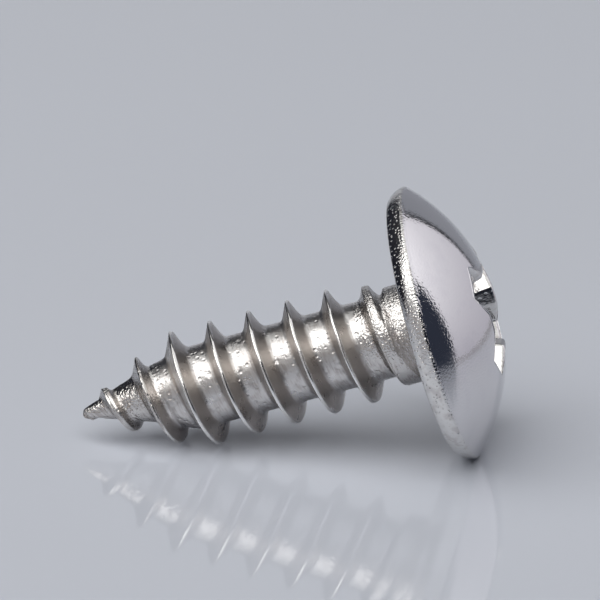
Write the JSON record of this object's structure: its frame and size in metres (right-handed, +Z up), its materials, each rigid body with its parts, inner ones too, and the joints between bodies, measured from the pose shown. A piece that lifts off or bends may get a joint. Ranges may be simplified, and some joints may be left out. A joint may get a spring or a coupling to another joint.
{
  "type": "self-tapping screw",
  "caption": "Short self-tapping screw with a wide domed head, a cross recess, a coarse sharp thread and a gimlet point, lying on its side.",
  "frame": {"origin": "on the table, under the middle of the screw's box as it lies on its side", "axes": "+Z up from the table, +X towards the head, along the longest side of the box; the screw's own axis rises towards the head by about 17 degrees in the X-Z plane"},
  "size_m": [0.0146, 0.0096, 0.0092],
  "materials": {
    "screw": "bright nickel-like finish, smooth on the dome, with drag marks and pits on the rolled thread and a grainy rim"
  },
  "bodies": {
    "root": {"screw": "screw"}
  },
  "joints": []
}
